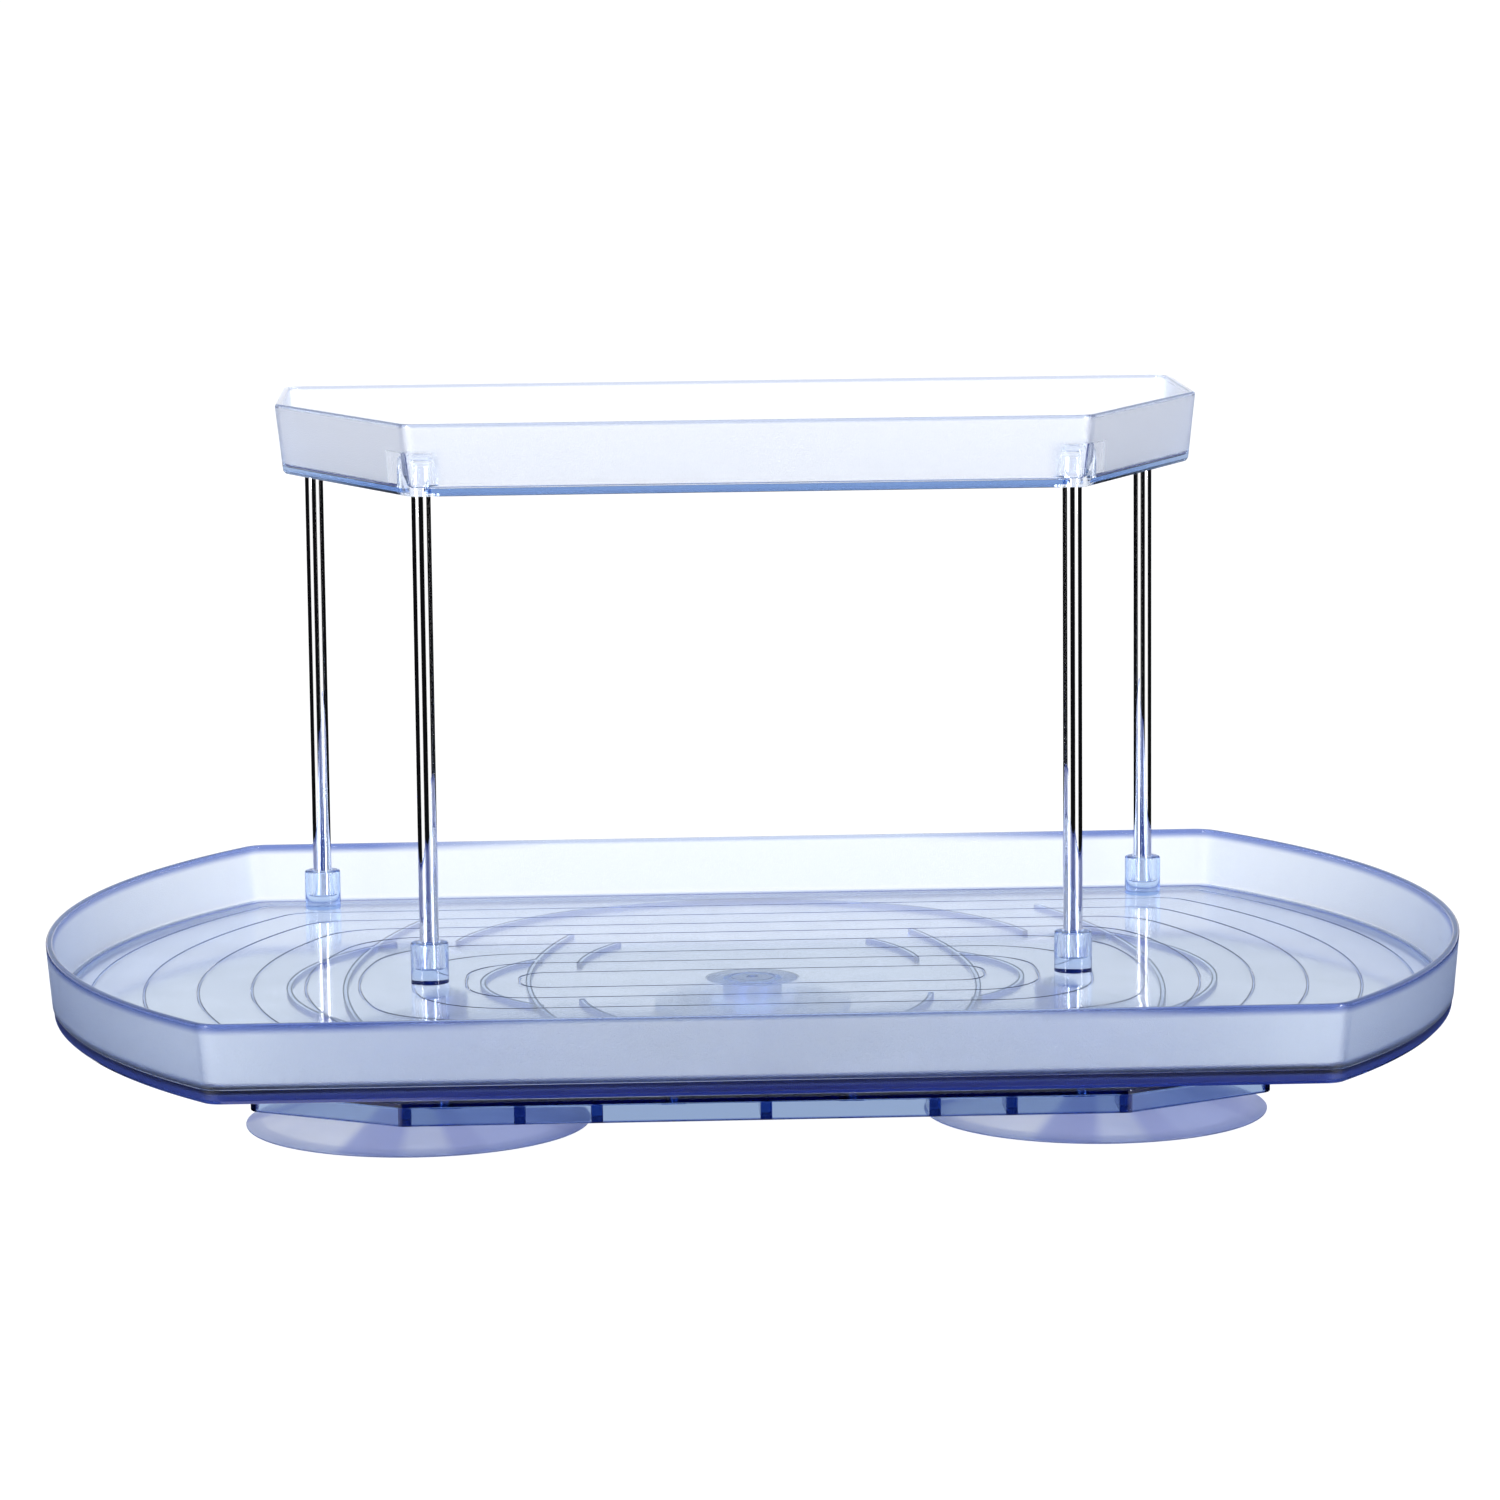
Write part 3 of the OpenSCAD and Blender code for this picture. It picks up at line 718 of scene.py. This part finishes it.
def add_arc_rib(bm, centre, radius, start, end, turned):
    """An upright rib that follows an arc under the floor; the angles are in degrees."""
    thickness = 1.6 * MM
    bottom = TRAY_SKIRT + 0.2 * MM
    top = TRAY_UNDERSIDE + 0.5 * MM
    section = rounded_path([
        (-thickness / 2, top, 0), (-thickness / 2, bottom, 0.4 * MM),
        (thickness / 2, bottom, 0.4 * MM), (thickness / 2, top, 0),
    ], steps=3)
    steps = max(6, int(abs(end - start) / 2))
    rings = []
    for i in range(steps + 1):
        turn = math.radians(start + (end - start) * i / steps)
        out = Vector((math.cos(turn), math.sin(turn), 0))
        axis = Vector((centre[0] * MM, centre[1] * MM, 0))
        ring = [axis + out * (radius * MM + p.x) + Vector((0, 0, p.y)) for p in section]
        rings.append([Matrix.Rotation(turned, 4, "Z") @ p for p in ring])
    add_rings(bm, rings)


def add_tracks(bm):
    """Guide tracks under the floor, the same in all four quarters of the tray."""
    for turned in (0, math.pi):
        add_arc_rib(bm, (38, 0), 94, -46, 46, turned)
        add_arc_rib(bm, (-160, 0), 276, -24, 24, turned)
        add_arc_rib(bm, (-155, 0), 219, -20, 20, turned)
        add_arc_rib(bm, (30, 0), 47, -50, 50, turned)
        add_arc_rib(bm, (0, 43), 88, 16, 164, turned)
        add_arc_rib(bm, (-20, 20), 69.5, 6, 35, turned)
        add_arc_rib(bm, (-20, -20), 69.5, -35, -6, turned)


# ---------- upper tray ----------

def build_upper_tray():
    """The upper tray with its domed bosses, hollow over the posts' heads, as one moulding."""
    path = rounded_path([
        (30 * MM, UPPER_BOTTOM, 0),
        (2.9 * MM, UPPER_BOTTOM, 0.8 * MM),
        (2.1 * MM, UPPER_BOTTOM + 1.0 * MM, 0.5 * MM),
        (0.0, UPPER_RIM, 0.7 * MM),
        (2.0 * MM, UPPER_RIM, 0.7 * MM),
        (4.3 * MM, UPPER_FLOOR, 1.6 * MM),
        (30 * MM, UPPER_FLOOR, 0),
    ])
    rings = [[p.to_3d() + Vector((0, 0, step.y)) for p in upper_outline(step.x)] for step in path]
    shell = bmesh.new()
    add_rings(shell, rings)
    added = bmesh.new()
    cut = bmesh.new()
    top = UPPER_BOTTOM + 12 * MM
    for place in POSTS:
        radius = 5.3 * MM if "front" in place else 4.8 * MM
        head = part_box("post_" + place)[1].z + 1.2 * MM
        dome = rounded_path([(0, UPPER_FLOOR - BITE, 0), (radius, UPPER_FLOOR - BITE, 0),
                             (radius, top, 2.4 * MM), (0, top, 0)])
        bore = rounded_path([(0, UPPER_BOTTOM - BITE, 0), (BORE_RADIUS, UPPER_BOTTOM - BITE, 0),
                             (BORE_RADIUS, head, 0.8 * MM), (0, head, 0)])
        add_lathed(added, dome, middle("post_" + place))
        add_lathed(cut, bore, middle("post_" + place))
    make_piece("upper_tray_shell", moulding(shell, added, cut), [upper_plastic],
               "turntable", ["upper_tray"])


def build_posts():
    """Chromed posts with rounded ends."""
    for place in POSTS:
        low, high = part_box("post_" + place)
        radius = (high.x - low.x) / 2
        profile = rounded_path([
            (0, low.z, 0), (radius, low.z, 0.5 * MM), (radius, high.z, 0.5 * MM), (0, high.z, 0),
        ])
        bm = bmesh.new()
        add_lathed(bm, profile, middle("post_" + place), steps=64)
        make_piece("chromed_post_" + place, bm, [chrome], "turntable",
                   ["post_" + place])


# ---------- base ----------

def build_base_plate():
    """Lipped octagonal shell with a raised round platform, webs and bosses."""
    lip = 2 * MM
    skin = 2 * MM
    platform_top = base_high.z
    plate_top = platform_top - 1.5 * MM
    shell = rounded_path([
        (30 * MM, plate_top - skin, 0), (lip, plate_top - skin, 0.5 * MM),
        (lip, base_low.z, 0.4 * MM), (0, base_low.z, 0.4 * MM),
        (0, plate_top, 0.9 * MM), (30 * MM, plate_top, 0),
    ])
    bm = bmesh.new()
    add_rings(bm, [[p.to_3d() + Vector((0, 0, step.y)) for p in base_outline(step.x)]
                   for step in shell])
    platform_r = BASE_HALF.y - lip
    platform = rounded_path([
        (0, plate_top + SEAM, 0), (platform_r, plate_top + SEAM, 0),
        (platform_r, platform_top, 0.5 * MM), (0, platform_top, 0),
    ])
    add_lathed(bm, platform, BASE_MIDDLE, steps=192)
    for x in (-98, -67, -46, 0, 46, 67, 98):
        for side in (-1, 1):
            wall_y = BASE_MIDDLE.y + side * (BASE_HALF.y - lip - SEAM)
            ends = sorted((wall_y, wall_y - side * 13 * MM))
            add_bar(bm, (x * MM - 1.6 * MM, ends[0], base_low.z),
                    (x * MM + 1.6 * MM, ends[1], plate_top - skin - SEAM), 0.3 * MM, material=1)
    for x in (-1, 1):
        for y in (-1, 1):
            add_revolved(bm, boss_profile(2.05 * MM, 4.5 * MM, base_low.z + 1 * MM,
                                          plate_top - skin - SEAM),
                         (x * 87.6 * MM, BASE_MIDDLE.y + y * 32 * MM), steps=48, material=1)
            add_revolved(bm, boss_profile(1.55 * MM, 3.5 * MM, base_low.z + 2 * MM,
                                          plate_top - skin - SEAM),
                         (x * 24.6 * MM, BASE_MIDDLE.y + y * 30 * MM), steps=48, material=1)
    make_piece("clear_base_plate", bm, [base_plastic, web_plastic], "base", ["base_plate"])


def boss_profile(inner, outer, bottom, top):
    """A short tube under the plate."""
    return rounded_path([(inner, bottom, 0.2 * MM), (outer, bottom, 0.3 * MM),
                         (outer, top, 0), (inner, top, 0)], closed=True)


def build_suction_cups():
    """Soft clear cups: a thin flared skirt, a seat under the plate and a stud with a bevelled top."""
    for name in SIDES:
        low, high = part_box("suction_cup_" + name)
        radius = (high.x - low.x) / 2
        seat = high.z - 5.3 * MM
        profile = rounded_path([
            (0, 7.5 * MM, 0), (9 * MM, 6.8 * MM, 3 * MM), (radius - 2.5 * MM, 0.02 * MM, 0.5 * MM),
            (radius - 0.3 * MM, 0.02 * MM, 0.2 * MM), (radius, 0.6 * MM, 0.3 * MM),
            (12 * MM, seat - 3.4 * MM, 2 * MM), (9 * MM, seat - 2 * MM, 0.8 * MM),
            (9 * MM, seat - 0.05 * MM, 0.3 * MM), (3.9 * MM, seat - 0.05 * MM, 0.1 * MM),
            (3.9 * MM, high.z - 0.8 * MM, 0.3 * MM), (3.2 * MM, high.z, 0.3 * MM), (0, high.z, 0),
        ])
        bm = bmesh.new()
        add_lathed(bm, profile, middle("suction_cup_" + name), steps=160)
        make_piece("soft_cup_" + name, bm, [cup_plastic], "base",
                   ["suction_cup_" + name])


def build_guide_rollers():
    """Crowned rollers with a waist, turning on their pins."""
    for place in POSTS:
        node = "guide_roller_" + place
        low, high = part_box(node)
        radius = (high.x - low.x) / 2
        bore = 2.05 * MM
        middle_z = (low.z + high.z) / 2
        profile = rounded_path([
            (bore, low.z, 0.2 * MM), (radius - 0.6 * MM, low.z, 0.4 * MM),
            (radius, low.z + 1.0 * MM, 0.6 * MM), (radius, middle_z - 1.4 * MM, 0.3 * MM),
            (radius - 0.5 * MM, middle_z - 0.8 * MM, 0.3 * MM),
            (radius - 0.5 * MM, middle_z + 0.8 * MM, 0.3 * MM),
            (radius, middle_z + 1.4 * MM, 0.3 * MM), (radius, high.z - 1.0 * MM, 0.6 * MM),
            (radius - 0.6 * MM, high.z, 0.4 * MM), (bore, high.z, 0.2 * MM),
        ], closed=True)
        bm = bmesh.new()
        add_revolved(bm, profile, middle(node), steps=72)
        make_piece("crowned_roller_" + place, bm, [acetal], "roller_" + place, [node])


def finish_cad_nodes():
    """Small fittings keep their CAD shape and get a better material."""
    finishes = {
        white_acetal: ["cup_lock_left", "cup_lock_right", "carriage_bush", "thrust_washer"],
        rail_plastic: ["slide_rail_left", "slide_rail_right", "carriage"],
        steel: ["rail_screws", "roller_pins", "roller_clips", "pivot_pin", "retaining_clip"],
    }
    for material, names in finishes.items():
        for name in names:
            for material_slot in NODES[name].material_slots:
                material_slot.material = material


# ---------- studio ----------

WHITE = (1, 1, 1)
CARD_BLACK = (0.004, 0.004, 0.005)
CARD_NAVY = (0.03, 0.05, 0.24)
CEILING_BLUE = (0.50, 0.58, 0.66)
HORIZON_TOP = math.sin(math.radians(6.5))       # the white of the horizon ends this high up
HORIZON_BLEND = 0.04
FRONT_CARD_END = math.radians(28)               # angles from straight ahead of the camera
LOW_FRONT_END = math.radians(40)
LOW_FRONT_TOP = 0.4                             # the sine of its highest angle
SIDE_CARD_START = math.radians(67)
SIDE_CARD_END = math.radians(172)


def stage_material(name, colour, glow):
    """A pale surface lit from behind as well, like a light table, so that shadows stay soft.
    Reflections don't see it: they see what the world puts below the horizon. Nor does a camera
    that looks up through it."""
    shader = Shader(name)
    shader.set(Roughness=0.7, Emission_Color=(1, 1, 1, 1), Emission_Strength=glow)
    tone = shader.noise(scale=4, detail=2)
    ramp = shader.add("ShaderNodeValToRGB")
    ramp.color_ramp.elements[0].color = (*[c * 0.995 for c in colour], 1)
    ramp.color_ramp.elements[1].color = (*colour, 1)
    shader.link(tone, "Fac", ramp, "Fac")
    shader.link(ramp, "Color", shader.principled, "Base Color")
    mix = shader.add("ShaderNodeMixShader")
    path = shader.add("ShaderNodeLightPath")
    reflected = shader.spread(path, "Glossy Depth", 0, 1, 0.4, 0.6)
    below = shader.spread(shader.add("ShaderNodeNewGeometry"), "Backfacing", 0, 1)
    shader.link(shader.math("MAXIMUM", reflected, below), "Value", mix, "Fac")
    shader.tree.links.new(shader.principled.outputs["BSDF"], mix.inputs[1])
    shader.link(shader.add("ShaderNodeBsdfTransparent"), "BSDF", mix, 2)
    shader.link(mix, "Shader", shader.output, "Surface")
    return shader.material


def stage_mesh(name, bm, material):
    mesh = bpy.data.meshes.new(name)
    bm.to_mesh(mesh)
    bm.free()
    mesh.materials.append(material)
    prop = bpy.data.objects.new(name, mesh)
    bpy.context.scene.collection.objects.link(prop)
    return prop


def build_floor():
    """A wide round pale floor."""
    bm = bmesh.new()
    bm.faces.new([bm.verts.new(p.to_3d()) for p in arc((0, 0), 30, 0, TAU * 95 / 96, 95)])
    stage_mesh("floor", bm, stage_material("pale_floor", (0.03, 0.03, 0.03), glow=1.0))


def build_light(name, place, aim, size, power, colour=(1, 1, 1)):
    lamp = bpy.data.lights.new(name, "AREA")
    lamp.shape = "RECTANGLE"
    lamp.size, lamp.size_y = size
    lamp.energy = power
    lamp.color = colour
    light = bpy.data.objects.new(name, lamp)
    light.location = place
    light.rotation_euler = (Vector(place) - Vector(aim)).to_track_quat("Z", "Y").to_euler()
    bpy.context.scene.collection.objects.link(light)


def build_world():
    """A white studio. Reflections see a pale blue ceiling above a white horizon, a navy card low
    in front, and below the horizon black cards in front and on each side. Where the ray has also
    gone through plastic, those cards are navy and the ceiling white; after three faces of
    plastic, and for every ray that isn't reflected, all of it is white."""
    world = bpy.data.worlds.new("studio")
    world.use_nodes = True
    bpy.context.scene.world = world
    tree = world.node_tree
    sky = tree.nodes["Background"]
    sky.inputs["Strength"].default_value = 1.05

    def put(value, socket):
        if isinstance(value, bpy.types.NodeSocket):
            tree.links.new(value, socket)
        else:
            socket.default_value = value

    def math_node(operation, first, second=0.0):
        node = tree.nodes.new("ShaderNodeMath")
        node.operation = operation
        put(first, node.inputs[0])
        put(second, node.inputs[1])
        return node.outputs["Value"]

    def blend(amount, first, second):
        node = tree.nodes.new("ShaderNodeMix")
        node.data_type = "RGBA"
        for index, value in ((0, amount), (6, first), (7, second)):
            put(value if isinstance(value, bpy.types.NodeSocket) else (*value, 1), node.inputs[index])
        return node.outputs[2]

    axes = tree.nodes.new("ShaderNodeSeparateXYZ")
    tree.links.new(tree.nodes.new("ShaderNodeTexCoord").outputs["Generated"], axes.inputs["Vector"])
    height = axes.outputs["Z"]
    ahead = math_node("MULTIPLY", axes.outputs["Y"], -1.0)
    turned = math_node("ARCTAN2", math_node("ADD", axes.outputs["X"], CAMERA_SLANT), ahead)
    from_front = math_node("ABSOLUTE", turned)
    in_front = math_node("LESS_THAN", from_front, FRONT_CARD_END)
    beside = math_node("MULTIPLY", math_node("GREATER_THAN", from_front, SIDE_CARD_START),
                       math_node("LESS_THAN", from_front, SIDE_CARD_END))
    path = tree.nodes.new("ShaderNodeLightPath").outputs
    through = math_node("GREATER_THAN", path["Transmission Depth"], 0.5)
    card = blend(through, CARD_BLACK, CARD_NAVY)
    lower = blend(math_node("ADD", in_front, beside), WHITE, card)
    ceiling = math_node("MULTIPLY", math_node("SUBTRACT", height, HORIZON_TOP), 1 / HORIZON_BLEND)
    upper = blend(ceiling, WHITE, blend(through, CEILING_BLUE, WHITE))
    low_front = math_node("MULTIPLY", math_node("LESS_THAN", from_front, LOW_FRONT_END),
                          math_node("LESS_THAN", height, LOW_FRONT_TOP))
    upper = blend(low_front, upper, CARD_NAVY)
    seen = blend(math_node("LESS_THAN", height, -0.02), upper, lower)
    reflected = math_node("MULTIPLY", math_node("GREATER_THAN", path["Glossy Depth"], 0.5),
                          math_node("LESS_THAN", path["Transmission Depth"], 2.5))
    tree.links.new(blend(reflected, WHITE, seen), sky.inputs["Color"])


def build_studio():
    build_floor()
    build_world()
    for side in (-1, 1):
        build_light("strip", (side * 1.15, -0.95, 0.45), (0, 0, 0.1), (0.25, 0.9), 16)
    bpy.context.scene.view_settings.view_transform = "Standard"


def allow_deep_glass():
    """Light may cross many faces of the clear mouldings before it is given up."""
    cycles = bpy.context.scene.cycles
    cycles.max_bounces = 40
    cycles.transmission_bounces = 40
    cycles.glossy_bounces = 16


def build_camera():
    """The photograph's view: from in front, a little to the left and above."""
    aim = Vector((0, 0, cad_box[1].z / 2 + 2.4 * MM))
    data = bpy.data.cameras.new("camera")
    data.sensor_width = 36
    data.lens = CAMERA_LENS
    data.clip_end = 100
    camera = bpy.data.objects.new("camera", data)
    turn = (Matrix.Rotation(-CAMERA_AZIMUTH, 3, "Z")
            @ Matrix.Rotation(math.pi / 2 - CAMERA_ELEVATION, 3, "X"))
    camera.rotation_euler = (turn @ Matrix.Rotation(CAMERA_ROLL, 3, "Z")).to_euler()
    camera.location = aim + turn @ Vector((0, 0, CAMERA_DISTANCE))
    bpy.context.scene.collection.objects.link(camera)
    bpy.context.scene.camera = camera


build_lower_tray()
build_upper_tray()
build_posts()
build_base_plate()
build_suction_cups()
build_guide_rollers()
finish_cad_nodes()
build_studio()
build_camera()
allow_deep_glass()
